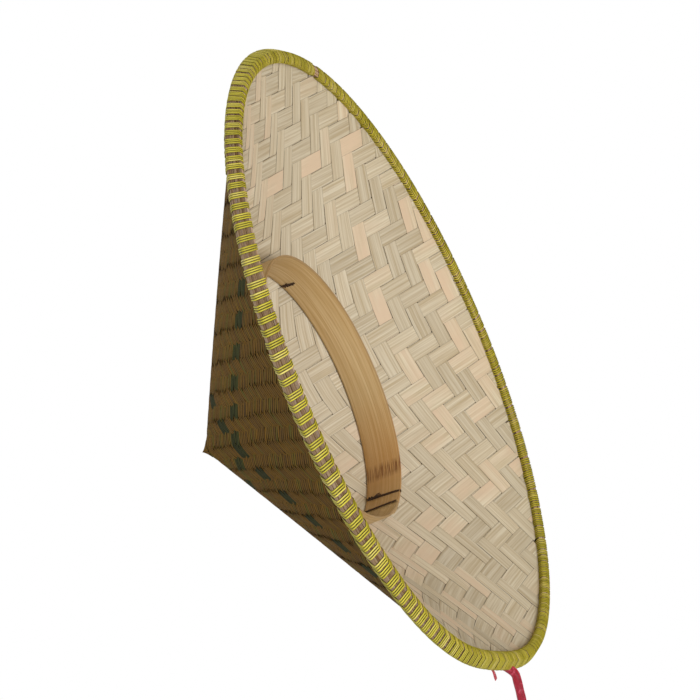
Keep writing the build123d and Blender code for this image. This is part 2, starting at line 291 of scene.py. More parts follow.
looks = {
    "liningStraw": {"pale": "#dcd4c1", "deep": "#bfb094", "odd": "#d3bfa8", "edge": "#3f2c18",
                    "fineness": 3.2, "gapShadeStart": 0.95, "gapShadeDepth": 0.65, "hairs": 0.16,
                    "bump": 0.3, "coat": 0, "shine": 0.25},
    "outerSkin": {"pale": "#8a6312", "deep": "#533a0a", "odd": "#5f5714", "edge": "#160f05",
                  "fineness": 1.2, "gapShadeStart": 0.5, "gapShadeDepth": 0.8, "hairs": 0.5,
                  "bump": 0.5, "coat": 0, "shine": 0.05},
    "outerDyed": {"pale": "#42450c", "deep": "#212405", "odd": "#4a4a12", "edge": "#0b1206",
                  "fineness": 1.2, "gapShadeStart": 0.5, "gapShadeDepth": 0.8, "hairs": 0.5,
                  "bump": 0.5, "coat": 0, "shine": 0.05},
    "rimSplit": {"pale": "#ccb08a", "deep": "#845e34", "odd": "#dccabc", "edge": "#3a2414",
                 "fineness": 4.0, "gapShadeStart": 0.86, "gapShadeDepth": 0.6, "hairs": 0.4,
                 "bump": 0.5, "coat": 0, "shine": 0.3},
    "rimCane": {"pale": "#e6da48", "deep": "#b3a62c", "odd": "#dfd07a", "edge": "#352c08",
                "fineness": 2.0, "gapShadeStart": 0.30, "gapShadeDepth": 0.8, "hairs": 0.3,
                "bump": 0.4, "coat": 0.1, "shine": 0.35},
    "bandSplit": {"pale": "#dcc294", "deep": "#c2a06a", "odd": "#cfae80", "edge": "#7a5630",
                  "fineness": 9.0, "gapShadeStart": 0.90, "gapShadeDepth": 0.5, "hairs": 0.4,
                  "bump": 0.4, "coat": 0.1, "shine": 0.35, "node": 0.514},    # node: metres along the band
}
finish = {name: bambooMaterial(name, look) for name, look in looks.items()}


def leafMaterial():
    material, tree, shader = newMaterial("driedLeaf")
    place = tree.nodes.new("ShaderNodeTexCoord").outputs["Object"]
    veins = noise(tree, stretch(tree, place, (1, 0.08, 0.3)), 700, 3)
    patches = noise(tree, place, 28, 2)
    base = mixColour(tree, steps(tree, patches, 0.4, 0.6), colour("#4a3c20"), colour("#6b5a30"))
    base = mixColour(tree, steps(tree, veins, 0.45, 0.6), colour("#2e2412"), base)
    link(tree, base, shader.inputs["Base Color"])
    shader.inputs["Roughness"].default_value = 0.8
    return material


def threadMaterial():
    material, tree, shader = newMaterial("darkThread")
    place = tree.nodes.new("ShaderNodeTexCoord").outputs["Object"]
    twist = noise(tree, stretch(tree, place, (1, 1, 1.6)), 2600, 2)
    link(tree, mixColour(tree, steps(tree, twist, 0.4, 0.6), colour("#20140c"), colour("#5a4028")),
         shader.inputs["Base Color"])
    addBump(tree, shader, twist, 0.1 * mm)
    shader.inputs["Roughness"].default_value = 0.85
    return material


def ribbonMaterial():
    # satin: fine warp threads along the ribbon, soft creases across it, their ridges lightened to pink as
    # painted highlights
    material, tree, shader = newMaterial("crimsonSatin")
    warp = noise(tree, stretch(tree, fibreVector(tree), (60, 24, 1)), 1.0, 3)
    creasesAndHighlight = noise(tree, stretch(tree, fibreVector(tree), (420, 1.3, 1)), 1.0, 2)
    base = mixColour(tree, steps(tree, warp, 0.35, 0.65), colour("#7d0c22"), colour("#c21c3e"))
    # painted highlight: pink on the crease ridges, where the satin would catch the light
    base = mixColour(tree, steps(tree, creasesAndHighlight, 0.55, 0.75), base, colour("#e85a78"))
    link(tree, base, shader.inputs["Base Color"])
    height = mathNode(tree, "ADD", creasesAndHighlight, mathNode(tree, "MULTIPLY", warp, 0.4))
    addBump(tree, shader, height, 0.3 * mm, 0.7)
    shader.inputs["Roughness"].default_value = 0.38
    shader.inputs["Sheen Weight"].default_value = 0.4
    return material


finish["driedLeaf"] = leafMaterial()
finish["darkThread"] = threadMaterial()
finish["crimsonSatin"] = ribbonMaterial()
print("materials made")


# The rim is pushed in a little near -X, with the cone above it
dent = {"depth": 8.7 * mm, "azimuth": radians(196), "spread": radians(20)}


def pushIn(point):
    radius = hypot(point.x, point.y)
    turn = (atan2(point.y, point.x) - dent["azimuth"] + pi) % (2 * pi) - pi
    depth = dent["depth"] * exp(-(turn / dent["spread"]) ** 2) * min(1, radius / slope["radius"]) ** 3
    share = 1 - depth / max(radius, 1 * mm)
    return Vector((point.x * share, point.y * share, point.z))


def startMesh():
    bm = bmesh.new()
    return bm, bm.verts.layers.float_vector.new("fibre")


def makePiece(bm, name, material, nodes, fixNormals=True):
    if fixNormals:
        bmesh.ops.recalc_face_normals(bm, faces=bm.faces)
    if name not in ("chinRibbon", "coilTie"):
        for vert in bm.verts:
            vert.co = pushIn(vert.co)
    mesh = bpy.data.meshes.new(name)
    bm.to_mesh(mesh)
    bm.free()
    mesh.materials.append(finish[material])
    for face in mesh.polygons:
        face.use_smooth = True
    piece = bpy.data.objects.new(name, mesh)
    bpy.context.scene.collection.objects.link(piece)
    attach(piece, "root")
    if nodes:
        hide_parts(*nodes)
    lowest = min(vert.co.z for vert in mesh.vertices)
    print(name, len(mesh.polygons), "faces, lowest", round(lowest / mm, 2), "mm")
    return piece


def addThickness(piece, thickness):
    wall = piece.modifiers.new("wall", "SOLIDIFY")
    wall.thickness = thickness
    wall.offset = 0


def wrapGrid(bm, fibre, alongCount, acrossCount, place):
    # a grid laid by place(along index, across index), which gives a point and its fibre values
    made = bmesh.ops.create_grid(bm, x_segments=alongCount, y_segments=acrossCount, size=0.5)
    for vert in made["verts"]:
        spot = place(round((vert.co.x + 0.5) * alongCount), round((vert.co.y + 0.5) * acrossCount))
        vert.co = spot[0]
        vert[fibre] = spot[1]


# The two weaves. Each family of splints runs along one grid direction, over and under the other. A sample is
# a place along one repeat, counted in splints, how high the splint rides there and how much width it shows.
liningWeave = {"pitch": 11.7 * mm, "turn": radians(-9), "bend": 0.4, "reach": 203.6 * mm, "repeat": 4,
               "samples": ((0.14, 0.85, 0.98), (1.0, 1.0, 1.0), (1.86, 0.85, 0.98),
                           (2.14, -0.85, 0.97), (3.0, -1.0, 0.97), (3.86, -0.85, 0.97)),
               "surface": innerPoint, "middle": 0.62 * mm, "ride": -0.24 * mm, "width": 0.985,
               "wander": 0.25 * mm, "thickness": 0.36 * mm, "ragged": 0}
outerWeave = {"pitch": 2.34 * mm, "turn": radians(-51), "bend": 0, "reach": 204.6 * mm, "repeat": 10,
              "samples": ((0.45, 0.75, 0.86), (2.5, 1.0, 0.96), (4.55, 0.75, 0.86),
                          (5.45, -0.75, 0.80), (7.5, -1.0, 0.90), (9.55, -0.75, 0.80)),
              "surface": outerPoint, "middle": 0, "ride": 0.24 * mm, "width": 0.95,
              "wander": 0.12 * mm, "thickness": 0.26 * mm, "ragged": 0.9}
splint = {"past": 0.6 * mm, "clear": 0.5 * mm, "longest": 215, "shortest": 6, "repeats": 60,
          "widths": (0.975, 1.02), "drift": 23}


def plan(weave, u, v):
    # a place on the weave's own grid, seen from above
    bentV = v - weave["bend"] * u * u
    across, along = cos(weave["turn"]), sin(weave["turn"])
    return u * across - bentV * along, u * along + bentV * across


def laySplint(bm, fibre, weave, family, index, tone):
    pitch = weave["pitch"]
    centre = family["first"] + index * pitch * family["side"]
    reach = [t * mm for t in range(-splint["longest"], splint["longest"] + 1)
             if hypot(*plan(weave, *family["place"](t * mm, centre))) < weave["reach"]]
    if len(reach) < splint["shortest"]:
        return
    stops = [(reach[0], None), (reach[-1], None)]
    phaseStart = family["shift"] + index * family["stagger"] + draw.uniform(-1, 1) * weave["ragged"]
    for repeat in range(-splint["repeats"], splint["repeats"]):
        for sample in weave["samples"]:
            t = (sample[0] + repeat * weave["repeat"] - phaseStart) / family["rate"] * pitch
            if reach[0] + splint["clear"] < t < reach[-1] - splint["clear"]:
                stops.append((t, sample))
    stops.sort(key=lambda stop: stop[0])
    if len(stops) < 4:
        return
    stops[0] = (stops[0][0], stops[1][1])
    stops[-1] = (stops[-1][0], stops[-2][1])
    wander = draw.uniform(-1, 1) * weave["wander"]
    width = weave["width"] * draw.uniform(*splint["widths"]) * family.get("wide", 1)

    def place(alongIndex, acrossIndex):
        t, sample = stops[alongIndex]
        share = 2 * acrossIndex - 1
        drift = wander * sin(t * splint["drift"] + index)
        x, y = plan(weave, *family["place"](t, centre + drift + share * pitch / 2 * width * sample[2]))
        spread = min(1, (weave["reach"] + splint["past"]) / max(hypot(x, y), 1 * mm))
        x, y = x * spread, y * spread
        lift = weave["middle"] + weave["ride"] * sample[1]
        return weave["surface"](x, y, lift), (t, share, tone)

    wrapGrid(bm, fibre, len(stops) - 1, 1, place)


def weavePiece(name, material, nodes, weave, family, chosen=None):
    bm, fibre = startMesh()
    tones = Random(family["seed"])
    count = 2 * int(220 * mm / weave["pitch"])
    for index in range(-count, count):
        tone = tones.random()
        if chosen is None or chosen(index):
            laySplint(bm, fibre, weave, family, index, tone)
    piece = makePiece(bm, name, material, nodes, fixNormals=False)
    for face in piece.data.polygons:
        face.use_smooth = False
    addThickness(piece, weave["thickness"])


# the families: where the first splint lies, to which side the next ones follow and how far each is shifted
liningAcross = {"first": 182.35 * mm, "side": -1, "place": lambda t, c: (t, c), "rate": 1,
                "stagger": -1, "shift": 86.6 / 11.7, "seed": 3}
liningUpright = {"first": -80.75 * mm, "side": 1, "place": lambda t, c: (c, t), "rate": -1,
                 "stagger": -1, "shift": 188.2 / 11.7 - 1, "seed": 4}
outerRight = {"first": 0, "side": 1, "place": lambda t, c: (t, c), "rate": 1,
              "stagger": 1, "shift": 0, "seed": 5}
outerLeft = {"first": 0, "side": 1, "place": lambda t, c: (c, t), "rate": 1,
             "stagger": 1, "shift": -5, "seed": 6, "wide": 1.04}

weavePiece("liningSplintsAcross", "liningStraw", ["inner_lining"], liningWeave, liningAcross)
weavePiece("liningSplintsUpright", "liningStraw", ["inner_lining"], liningWeave,
           liningUpright)

# three dyed splints side by side, on each side of the crown and in both directions
dyed = {"offset": 50 * mm, "wide": 2}
dyedIndex = round(dyed["offset"] / outerWeave["pitch"])


def isDyed(index):
    return abs(abs(index) - dyedIndex) <= dyed["wide"]


weavePiece("outerSplintsRight", "outerSkin", ["outer_weave"], outerWeave, outerRight,
           lambda index: not isDyed(index))
weavePiece("outerSplintsLeft", "outerSkin", ["outer_weave"], outerWeave, outerLeft,
           lambda index: not isDyed(index))
weavePiece("dyedSplintsRight", "outerDyed", ["accent_splints"], outerWeave, outerRight, isDyed)
weavePiece("dyedSplintsLeft", "outerDyed", ["accent_splints"], outerWeave, outerLeft, isDyed)

# the gathered tip
tip = {"radius": 6.5 * mm, "splints": 16, "rings": 6, "taper": 1.25, "ridge": 0.05, "lift": 0.5 * mm}
bm, fibre = startMesh()
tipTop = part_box("outer_weave")[1][2]


def placeTip(aroundIndex, ringIndex):
    share = ringIndex / tip["rings"]
    azimuth = aroundIndex * pi / tip["splints"]
    radius = tip["radius"] * (1 - share) ** tip["taper"] * (1 + tip["ridge"] * (aroundIndex % 2))
    height = coneHeight(tip["radius"], layers["weave"] + tip["lift"])
    point = Vector((radius * cos(azimuth) - tipLean["shift"] * (0.94 + 0.06 * share), radius * sin(azimuth),
                    height + (tipTop - height) * share))
    # the odd spokes carry -1 across, so the material's painted edge shade darkens them
    return point, (share * 0.02, -1 if aroundIndex % 2 else 0.3, (aroundIndex * 7 % 11) / 11)


wrapGrid(bm, fibre, 2 * tip["splints"], tip["rings"], placeTip)
bmesh.ops.remove_doubles(bm, verts=bm.verts, dist=0.02 * mm)
makePiece(bm, "gatheredTip", "outerSkin", ["outer_weave"])

# the leaves between the weaves
leaf = {"inside": 1.50 * mm, "outside": 1.75 * mm, "near": 0.6 * mm, "far": 203.5 * mm, "rings": 40,
        "turns": 96}
bm, fibre = startMesh()


def placeLeaf(aroundIndex, profileIndex):
    back = profileIndex > leaf["rings"]
    step = 2 * leaf["rings"] + 1 - profileIndex if back else profileIndex
    radius = leaf["near"] + (leaf["far"] - leaf["near"]) * step / leaf["rings"]
    azimuth = aroundIndex * 2 * pi / leaf["turns"]
    lift = leaf["outside"] if back else leaf["inside"]
    return innerPoint(radius * cos(azimuth), radius * sin(azimuth), lift), (0, 0, 0)


wrapGrid(bm, fibre, leaf["turns"], 2 * leaf["rings"] + 1, placeLeaf)
bmesh.ops.remove_doubles(bm, verts=bm.verts, dist=0.02 * mm)
makePiece(bm, "leafSheet", "driedLeaf", ["leaf_layer"])
print("weaves laid")


# The hoops, each of two splits side by side, with a joint where the ends meet: azimuth, near side, far side
hoopLook = {"gap": 0.10 * mm, "round": 0.35 * mm, "turns": 240, "wobble": 0.12 * mm, "joint": radians(0.3),
            "foot": 0.5 * mm, "jointStep": 3}
hoopSpan = (-6.2 * mm, 0.2 * mm)
hoopLayers = {"rim_outer_hoop_face": (16, 3.1 * mm, 4.5 * mm),
              "rim_outer_hoop_back": (140, 1.6 * mm, 3.0 * mm),
              "rim_inner_hoop_face": (250, -4.5 * mm, -3.1 * mm),
              "rim_inner_hoop_back": (330, -3.0 * mm, -1.6 * mm)}


def spinSection(bm, corners, azimuth, sweep, turns, rounding):
    # a rounded rectangle, given as radius and height, spun about the hat's axis
    points = [bm.verts.new((radius * cos(azimuth), radius * sin(azimuth), height))
              for radius, height in corners]
    bm.faces.new(points)
    made = bmesh.ops.bevel(bm, geom=points, affect="VERTICES", offset=rounding, segments=2, profile=0.5,
                           material=-1)
    face = made["verts"][0].link_faces[0]
    section = [face] + list(face.edges) + list(face.verts)
    bmesh.ops.spin(bm, geom=section, cent=(0, 0, 0), axis=(0, 0, 1), dvec=(0, 0, 0), angle=sweep, steps=turns,
                   use_merge=False, use_duplicate=False)


def splitRing(bm, fibre, low, high, near, far, azimuth, sweep, turns, tone):
    # one split of a hoop, with a slight wobble
    start = len(bm.verts)
    corners = [onSlope(low, near), onSlope(high, near), onSlope(high, far), onSlope(low, far)]
    spinSection(bm, corners, azimuth, sweep, turns, hoopLook["round"])
    bm.verts.ensure_lookup_table()
    for vert in bm.verts[start:]:
        turn = (atan2(vert.co.y, vert.co.x) - azimuth) % (2 * pi)
        radius = hypot(vert.co.x, vert.co.y)
        along = ((slope["radius"] - radius) * cos(slope["angle"])
                 + (vert.co.z - slope["height"]) * sin(slope["angle"]))
        vert[fibre] = (turn * radius, (2 * along - low - high) / (high - low), tone)
        swell = 1 + hoopLook["wobble"] / radius * sin(turn * 17 + tone * 40)
        vert.co = (vert.co.x * swell, vert.co.y * swell,
                   max(hoopLook["foot"], vert.co.z + hoopLook["wobble"] * sin(turn * 11 + tone * 90)))


def rimPiece(node, near, far, splits):
    bm, fibre = startMesh()
    for low, high, joint in splits:
        splitRing(bm, fibre, low, high, near, far, radians(joint), 2 * pi - hoopLook["joint"],
                  hoopLook["turns"], draw.random())
    name = "".join(word.capitalize() for word in node.split("_"))
    makePiece(bm, name, "rimSplit", [node])


hoopMiddle = (hoopSpan[0] + hoopSpan[1]) / 2
for node, (joint, near, far) in hoopLayers.items():
    rimPiece(node, near, far, ((hoopSpan[0], hoopMiddle - hoopLook["gap"], joint),
                               (hoopMiddle + hoopLook["gap"], hoopSpan[1], joint + hoopLook["jointStep"])))

# the slim splints that fill the edge between the hoops
edgeSplints = {"top": -4.8 * mm, "joint": 75, "jointStep": 40,
               "sides": {"rim_edge_splint_inner": (-1.5 * mm, -0.05 * mm),
                         "rim_edge_splint_outer": (0.05 * mm, 1.5 * mm)}}
for node, (near, far) in edgeSplints["sides"].items():
    joint = edgeSplints["joint"] + near / mm * edgeSplints["jointStep"]
    rimPiece(node, near, far, ((hoopSpan[0], edgeSplints["top"], joint),))

# Cane lashing: each wrap is three flat strands round the hoops, dipping through the weave at the top.
# The wraps stand apart near -Y and close up round the rest of the rim.
cane = {"wraps": 216, "crowding": radians(9.2), "strands": 3, "thick": 0.56 * mm, "slant": 0.38, "twist": 0.2,
        "bare": (radians(14.9), radians(17.1)), "untidy": radians(0.12), "cover": 0.90, "open": 0.30,
        "openAt": radians(282), "loose": 0.14, "widths": (0.74, 0.92), "slants": (0.75, 1.25),
        "step": 3.4 * mm, "toneStep": 0.11}
# one wrap's path in mm on the slope, which way is out at each place, and half of a strand's section
caneOutline = ((-6.35, 2.9), (-6.1, 4.45), (-4.0, 4.6), (-1.5, 4.6), (0.1, 4.4), (0.35, 3.0),
               (0.35, -3.0), (0.1, -4.4), (-1.5, -4.6), (-3.3, -4.6), (-4.8, -3.5), (-6.3, -2.45))
caneOut = ((-0.7, 0.7), (-0.5, 0.8), (0, 1), (0, 1), (0.6, 0.8), (1, 0.2), (1, -0.2), (0.6, -0.8),
           (0, -1), (-0.4, -0.9), (-0.58, -0.81), (-0.8, -0.6))
caneSection = ((-1, 0), (-0.72, 0.85), (0, 1), (0.72, 0.85), (1, 0))
bm, fibre = startMesh()
for wrap in range(cane["wraps"]):
    even = wrap * 2 * pi / cane["wraps"]
    azimuth = (even + cane["crowding"] * cos(even)) % (2 * pi)
    jitter = draw.uniform(-1, 1) * cane["untidy"]
    lean = cane["slant"] * draw.uniform(*cane["slants"])
    tone = draw.random()
    pitch = 2 * pi / cane["wraps"] * (1 - cane["crowding"] * sin(even)) * slope["radius"]
    cover = cane["cover"] - cane["open"] * max(0, cos(azimuth - cane["openAt"])) ** 1.5
    strandPitch = pitch * cover / cane["strands"]
    if cane["bare"][0] < azimuth < cane["bare"][1]:
        continue
    for strand in range(cane["strands"]):
        loose = draw.uniform(0, cane["loose"]) * mm
        offset = (strand - (cane["strands"] - 1) / 2) * strandPitch
        strandWidth = strandPitch * draw.uniform(*cane["widths"])

        def placeCane(pathIndex, sectionIndex):
            along, square = caneOutline[pathIndex % len(caneOutline)]
            outAlong, outSquare = caneOut[pathIndex % len(caneOut)]
            width, rise = caneSection[sectionIndex % len(caneSection)]
            lift = cane["thick"] * rise + loose
            shift = offset + width * strandWidth / 2 + along * mm * lean - square * mm * cane["twist"]
            point = rimPoint(azimuth + jitter + shift / slope["radius"], along * mm + outAlong * lift,
                             square * mm + outSquare * lift)
            return point, (pathIndex * cane["step"], width, (tone + cane["toneStep"] * strand) % 1)

        wrapGrid(bm, fibre, len(caneOutline), len(caneSection), placeCane)
bmesh.ops.remove_doubles(bm, verts=bm.verts, dist=0.01 * mm)
makePiece(bm, "caneLashing", "rimCane", ["rim_lashing"])
print("rim bound")


bandLow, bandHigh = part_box("head_band")[0][2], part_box("head_band")[1][2]
# the head band: one long split, and a short lap behind its joint
band = {"inside": 88.0 * mm, "thickness": 1.6 * mm, "round": 0.35 * mm, "joint": radians(162),
        "gap": radians(0.4), "lap": radians(16), "lapInset": 1 * mm, "turns": 200}
bandSplits = ((band["joint"], 2 * pi - band["gap"], bandLow, band["inside"], 0.35),
              (band["joint"] - band["lap"] / 2, band["lap"], bandLow + band["lapInset"],
               band["inside"] + band["thickness"], 0.6))
bm, fibre = startMesh()
for start, sweep, low, near, tone in bandSplits:
    first = len(bm.verts)
    far = near + band["thickness"] - 0.05 * mm
    high = bandHigh - 1.5 * (near - band["inside"])
    spinSection(bm, [(near, low), (far, low), (far, high), (near, high)], start, sweep,
                max(12, round(band["turns"] * sweep / (2 * pi))), band["round"])
    bm.verts.ensure_lookup_table()
    for vert in bm.verts[first:]:
        turn = (atan2(vert.co.y, vert.co.x) - start) % (2 * pi)
        radius = hypot(vert.co.x, vert.co.y)
        vert[fibre] = (turn * radius, (2 * vert.co.z - low - high) / (high - low), tone)
makePiece(bm, "headBand", "bandSplit", ["head_band"])


def curveMesh(routes, radius, smoothness):
    # smooth curves through the routes: a thread of this radius, or a bare line if it is 0
    data = bpy.data.curves.new("thread", "CURVE")
    data.dimensions = "3D"
    data.bevel_depth = radius
    data.bevel_resolution = 1
    data.use_fill_caps = True
    for route in routes:
        spline = data.splines.new("NURBS")
        spline.points.add(len(route) - 1)
        for point, spot in zip(spline.points, route):
            point.co = (*spot, 1)
        spline.order_u = 3
        spline.use_endpoint_u = True
        spline.resolution_u = smoothness
    holder = bpy.data.objects.new("thread", data)
    bpy.context.scene.collection.objects.link(holder)
    mesh = bpy.data.meshes.new_from_object(holder.evaluated_get(bpy.context.evaluated_depsgraph_get()))
    bpy.data.objects.remove(holder)
    bpy.data.curves.remove(data)
    return mesh


def curvePiece(name, routes, radius, material, nodes):
    bm = bmesh.new()
    mesh = curveMesh(routes, radius, 4)
    bm.from_mesh(mesh)
    bpy.data.meshes.remove(mesh)
    return makePiece(bm, name, material, nodes)


# Each tie loops over the band's upper edge and is knotted beside it; the short ones pass through the band.
bandTies = {"thread": 0.34 * mm, "spread": 0.8 * mm, "lean": 1.2 * mm, "turns": 3,
            "at": {1: 33, 2: 152.5, 3: 212, 4: 330}, "reach": {1: 0.36, 2: 1.0, 3: 1.0, 4: 0.8},
            "wisps": {1: 1, 2: 3, 3: 2, 4: 1}, "wispLength": (4, 8)}
bandKnot = {"steps": 26, "turn": 0.9, "inset": 0.4 * mm, "below": 3.5 * mm, "deep": 0.8 * mm,
            "wide": 1.3 * mm, "high": 1.5 * mm}
bandStitch = {"lines": 3, "first": radians(0.2), "step": radians(0.35), "low": 1.5 * mm, "high": 0.5 * mm,
              "bulge": 0.997}
for number, azimuth in bandTies["at"].items():
    out = Vector((cos(radians(azimuth)), sin(radians(azimuth)), 0))
    side = Vector((-out.y, out.x, 0))
    thread = bandTies["thread"]
    inside = band["inside"] - 0.9 * thread
    outside = band["inside"] + band["thickness"] + 0.9 * thread
    low, high = bandLow - 0.9 * thread, bandHigh + 0.6 * thread
    crossing = high - (high - low) * bandTies["reach"][number]
    halfway = (high + crossing) / 2
    loop = []
    for turn in range(bandTies["turns"]):
        shift = (turn - 1) * bandTies["spread"]
        for radius, height, lean in ((inside, high, -1), (inside, halfway, 0), (inside, crossing, 1),
                                     (outside, crossing, 1), (outside, halfway, 0.3), (outside, high, -0.8)):
            loop.append(out * radius + side * (shift + lean * bandTies["lean"]) + Vector((0, 0, height)))
    knotAt = (out * (inside - bandKnot["inset"]) - side * 0.6 * bandTies["lean"]
              + Vector((0, 0, high - bandKnot["below"])))
    knot = []
    for step in range(bandKnot["steps"]):
        turn = step * bandKnot["turn"] + number
        knot.append(knotAt + out * bandKnot["deep"] * sin(turn * 1.3) + side * bandKnot["wide"] * cos(turn)
                    + Vector((0, 0, bandKnot["high"] * sin(turn * 0.77))))
    routes = [loop, knot]
    for wisp in range(bandTies["wisps"][number]):
        reachOut = Vector((draw.uniform(-0.6, 0), draw.uniform(-0.6, 0.6), draw.uniform(-1.2, -0.4)))
        length = draw.uniform(*bandTies["wispLength"]) * mm
        bendTo = out * reachOut.x * 0.5 + side * reachOut.y + Vector((0, 0, reachOut.z))
        routes.append([knotAt, knotAt + bendTo * length * 0.4 + side * 1 * mm,
                       knotAt + bendTo * length * 0.8 - side * 1 * mm, knotAt + bendTo * length])
    if number == 2:
        # the stitch down the band's joint
        for line in range(bandStitch["lines"]):
            turn = band["joint"] - bandStitch["first"] - bandStitch["step"] * line
            edge = Vector((cos(turn), sin(turn), 0)) * inside
            routes.append([edge + Vector((0, 0, low + bandStitch["low"])),
                           edge * bandStitch["bulge"] + Vector((0, 0, (low + high) / 2)),
                           edge + Vector((0, 0, high - bandStitch["high"]))])
    curvePiece("bandTie" + str(number), routes, thread, "darkThread",
               ["band_tie_" + str(number)])
print("head band tied")


# The chin ribbon leaves the fold at the rim, drops to the floor and ends in flat turns side by side.
ribbon = {"width": 5.5 * mm, "thick": 0.35 * mm, "length": 0.435, "coilCentre": (-265 * mm, -33 * mm),
          "coilOutside": 33 * mm, "coilInside": 27.5 * mm, "turns": 2, "pointsPerTurn": 16,
          "height": 3.3 * mm, "crease": 0.3 * mm, "settled": 60 * mm, "lowest": 0.3 * mm}
ribbonExit = Vector((-196.6, -33.2, 9.4)) * mm
ribbonRoute = [ribbonExit] + [Vector(spot) * mm for spot in (
    (-201.0, -33.0, 3.5), (-209.0, -38.6, 3.1), (-217.8, -43.8, 3.0), (-229.5, -52.2, 2.9),
    (-240.0, -56.4, 2.9), (-250.0, -62.3, 3.2))]
coilStart = atan2(ribbonRoute[-1].y - ribbon["coilCentre"][1], ribbonRoute[-1].x - ribbon["coilCentre"][0])
for step in range(1, ribbon["turns"] * ribbon["pointsPerTurn"] + 1):
    turned = step / ribbon["pointsPerTurn"]
    radius = ribbon["coilOutside"] + (ribbon["coilInside"] - ribbon["coilOutside"]) * turned / ribbon["turns"]
    angle = coilStart - turned * 2 * pi
    ribbonRoute.append(Vector((ribbon["coilCentre"][0] + radius * cos(angle),
                               ribbon["coilCentre"][1] + radius * sin(angle), ribbon["height"])))
lineMesh = curveMesh([ribbonRoute], 0, 8)
ribbonLine = [vert.co.copy() for vert in lineMesh.vertices]
bpy.data.meshes.remove(lineMesh)
ribbonRun = sum((b - a).length for a, b in zip(ribbonLine, ribbonLine[1:]))
print("ribbon line", round(ribbonRun, 4), "m,", len(ribbonLine), "points")
travelled = [0]
for a, b in zip(ribbonLine, ribbonLine[1:]):
    travelled.append(travelled[-1] + (b - a).length)


def placeRibbon(lineIndex, acrossIndex):
    # the ribbon stands on edge, leaning a little on its way down
    here = ribbonLine[lineIndex]
    ahead = ribbonLine[min(lineIndex + 1, len(ribbonLine) - 1)] - ribbonLine[max(lineIndex - 1, 0)]
    settled = min(1, travelled[lineIndex] / ribbon["settled"])
    upward = Vector((0.25 * (1 - settled), 0.12 * (1 - settled), 1))
    face = ahead.cross(upward).normalized()
    sideways = face.cross(ahead).normalized()
    share = acrossIndex / 4 - 1
    wave = ribbon["crease"] * (sin(travelled[lineIndex] * 640 + share * 2.1) + 0.6 * sin(share * 5 + 1.3))
    spot = here + sideways * share * ribbon["width"] / 2 + face * wave * (1 - 0.7 * settled)
    return Vector((spot.x, spot.y, max(spot.z, ribbon["lowest"]))), (travelled[lineIndex], share, 0.5)


bm, fibre = startMesh()
wrapGrid(bm, fibre, len(ribbonLine) - 1, 8, placeRibbon)
chinRibbon = makePiece(bm, "chinRibbon", "crimsonSatin",
                       ["chin_ribbon_run", "chin_ribbon_coil"], fixNormals=False)
addThickness(chinRibbon, ribbon["thick"])

# the tied end: a strip on the hoop's outer face under the wraps, a fold, and a short cut tail
tied = {"face": 4.75 * mm, "start": radians(190.5), "tail": radians(198.0), "tailWidth": 3.2 * mm,
        "tailReach": 11.8 * mm, "tailEdge": 6.4 * mm, "tailLift": 0.6 * mm, "ripple": 0.15 * mm,
        "foldAlong": -1.0 * mm, "foldSquare": 6.4 * mm, "foldDeep": 1.6 * mm, "foldHigh": 2.6 * mm,
        "foldClimb": 0.6 * mm, "stripSteps": 12, "steps": 8}


def placeStrip(alongIndex, acrossIndex):
    azimuth = tied["start"] + (tied["tail"] - tied["start"]) * alongIndex / tied["stripSteps"]
    share = acrossIndex / 2 - 1
    square = tied["face"] + tied["ripple"] * sin(alongIndex * 1.7 + acrossIndex)
    return rimPoint(azimuth, (share - 1) * ribbon["width"] / 2, square), (alongIndex * 2.4 * mm, share, 0.4)


def placeTail(alongIndex, acrossIndex):
    # down the hoop to its edge, then level outwards
    share = acrossIndex / 2 - 1
    part = alongIndex / tied["steps"]
    travel = tied["tailReach"] * part
    free = max(0, travel - tied["tailEdge"])
    cut = 0.5 * mm * share * (alongIndex == tied["steps"])
    along = -min(travel, tied["tailEdge"]) - free * cos(slope["angle"]) - cut
    curl = 0.5 * mm * part ** 2 * sin(share * 2)
    square = tied["face"] + tied["tailLift"] + free * sin(slope["angle"]) + curl
    azimuth = tied["tail"] + share * tied["tailWidth"] / 2 / slope["radius"]
    return rimPoint(azimuth, along, square), (travel, share, 0.6)


def placeFold(alongIndex, acrossIndex):
    # from under the wraps, up round a small roll and out to where the free stretch starts
    share = acrossIndex / 2 - 1
    part = alongIndex / tied["steps"]
    square = tied["foldSquare"] - tied["foldDeep"] * cos(part * pi)
    along = tied["foldAlong"] + tied["foldHigh"] * sin(part * pi) + tied["foldClimb"] * part
    azimuth = tied["start"] + share * ribbon["width"] / 2 / slope["radius"]
    return rimPoint(azimuth, along, square), (alongIndex * 1.6 * mm, share, 0.5)


bm, fibre = startMesh()
wrapGrid(bm, fibre, tied["stripSteps"], 4, placeStrip)
wrapGrid(bm, fibre, tied["steps"], 4, placeTail)
wrapGrid(bm, fibre, tied["steps"], 4, placeFold)
tiedEnd = makePiece(bm, "chinRibbonTiedEnd", "crimsonSatin", ["chin_ribbon_tied_end"],
                    fixNormals=False)
addThickness(tiedEnd, ribbon["thick"])

